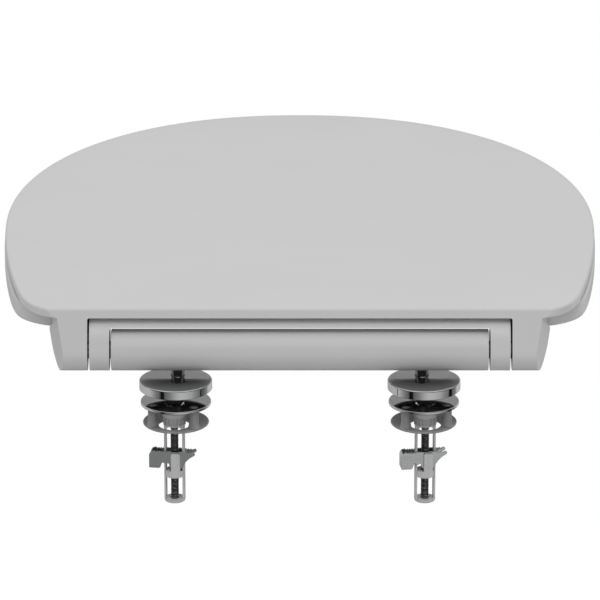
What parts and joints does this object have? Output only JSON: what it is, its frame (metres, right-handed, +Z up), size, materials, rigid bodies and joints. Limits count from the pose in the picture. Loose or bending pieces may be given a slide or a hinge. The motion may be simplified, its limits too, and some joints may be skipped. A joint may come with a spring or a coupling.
{
  "type": "toilet seat",
  "caption": "Closed toilet seat with a flat lid, a ring with an oval opening, a round soft-close hinge barrel, and top-fix fixings with chrome caps, screws and tilting toggles.",
  "frame": {"origin": "midway between the two fixing screws, at the underside of the spacer washers, where the pan's top face lies", "axes": "+X to the right seen from behind the hinge, +Y from the hinge towards the front of the seat, +Z up"},
  "size_m": [0.3818, 0.443, 0.1238],
  "materials": {
    "seat_plastic": "pale grey thermoset moulding, satin gloss",
    "bar_plastic": "pale grey moulding, satin gloss",
    "chrome": "bright chrome plate on steel",
    "dark_steel": "dark plated steel",
    "zinc_steel": "dull zinc-plated pressed steel",
    "fixing_plastic": "grey nylon",
    "spacer_rubber": "dark soft polymer",
    "dark_plastic": "black damper housing",
    "bush_plastic": "natural acetal",
    "foot_rubber": "pale soft rubber"
  },
  "bodies": {
    "hinge_base": {"hinge_bar": "bar_plastic", "damper_left": "dark_plastic", "damper_right": "dark_plastic", "hinge_pin_left": "dark_steel", "hinge_pin_right": "dark_steel", "post_left": "chrome", "post_right": "chrome", "base_plate_left": "chrome", "base_plate_right": "chrome", "spacer_washer_left": "spacer_rubber", "spacer_washer_right": "spacer_rubber", "cage_left": "fixing_plastic", "cage_right": "fixing_plastic"},
    "seat": {"seat_ring": "seat_plastic", "seat_bush_left": "bush_plastic", "seat_bush_right": "bush_plastic", "ring_bumper_front_left": "foot_rubber", "ring_bumper_front_right": "foot_rubber", "ring_bumper_rear_left": "foot_rubber", "ring_bumper_rear_right": "foot_rubber"},
    "cover": {"lid": "seat_plastic", "lid_bush_left": "bush_plastic", "lid_bush_right": "bush_plastic", "lid_buffer_left": "foot_rubber", "lid_buffer_right": "foot_rubber"},
    "left_cap": {"cap_left": "chrome"},
    "right_cap": {"cap_right": "chrome"},
    "left_screw": {"screw_left": "dark_steel"},
    "right_screw": {"screw_right": "dark_steel"},
    "left_carrier": {"nut_carrier_left": "fixing_plastic"},
    "right_carrier": {"nut_carrier_right": "fixing_plastic"},
    "left_toggle": {"toggle_left": "zinc_steel"},
    "right_toggle": {"toggle_right": "zinc_steel"}
  },
  "joints": [
    {"name": "seat_hinge", "type": "hinge", "parent": "hinge_base", "child": "seat", "pos_m": [0, 0.0144, 0.045], "axis": [1, 0, 0], "range_deg": [0, 105]},
    {"name": "lid_hinge", "type": "hinge", "parent": "seat", "child": "cover", "pos_m": [0, 0.0144, 0.045], "axis": [-1, 0, 0], "range_deg": [-110, 0]},
    {"name": "cap_slide_left", "type": "slide", "parent": "hinge_base", "child": "left_cap", "axis": [0, 0, 1], "range_m": [-0.0076, 0.0022]},
    {"name": "cap_slide_right", "type": "slide", "parent": "hinge_base", "child": "right_cap", "axis": [0, 0, 1], "range_m": [-0.0076, 0.0022]},
    {"name": "screw_turn_left", "type": "hinge", "parent": "hinge_base", "child": "left_screw", "pos_m": [-0.0775, 0, 0], "axis": [0, 0, -1], "range_deg": [-3600, 3600]},
    {"name": "screw_turn_right", "type": "hinge", "parent": "hinge_base", "child": "right_screw", "pos_m": [0.0775, 0, 0], "axis": [0, 0, -1], "range_deg": [-3600, 3600]},
    {"name": "carrier_travel_left", "type": "slide", "parent": "hinge_base", "child": "left_carrier", "axis": [0, 0, 1], "range_m": [-0.008, 0.008]},
    {"name": "carrier_travel_right", "type": "slide", "parent": "hinge_base", "child": "right_carrier", "axis": [0, 0, 1], "range_m": [-0.008, 0.008]},
    {"name": "toggle_tilt_left", "type": "hinge", "parent": "left_carrier", "child": "left_toggle", "pos_m": [-0.07616, -0.00019, -0.024], "axis": [-0.1392, -0.9903, 0], "range_deg": [0, 35]},
    {"name": "toggle_tilt_right", "type": "hinge", "parent": "right_carrier", "child": "right_toggle", "pos_m": [0.07884, 0.00019, -0.024], "axis": [0.1392, -0.9903, 0], "range_deg": [0, 35]}
  ],
  "couplings": [
    {"joint": "screw_turn_left", "follows": "carrier_travel_left", "rad_per_m": 7853.9},
    {"joint": "screw_turn_right", "follows": "carrier_travel_right", "rad_per_m": 7853.9}
  ]
}
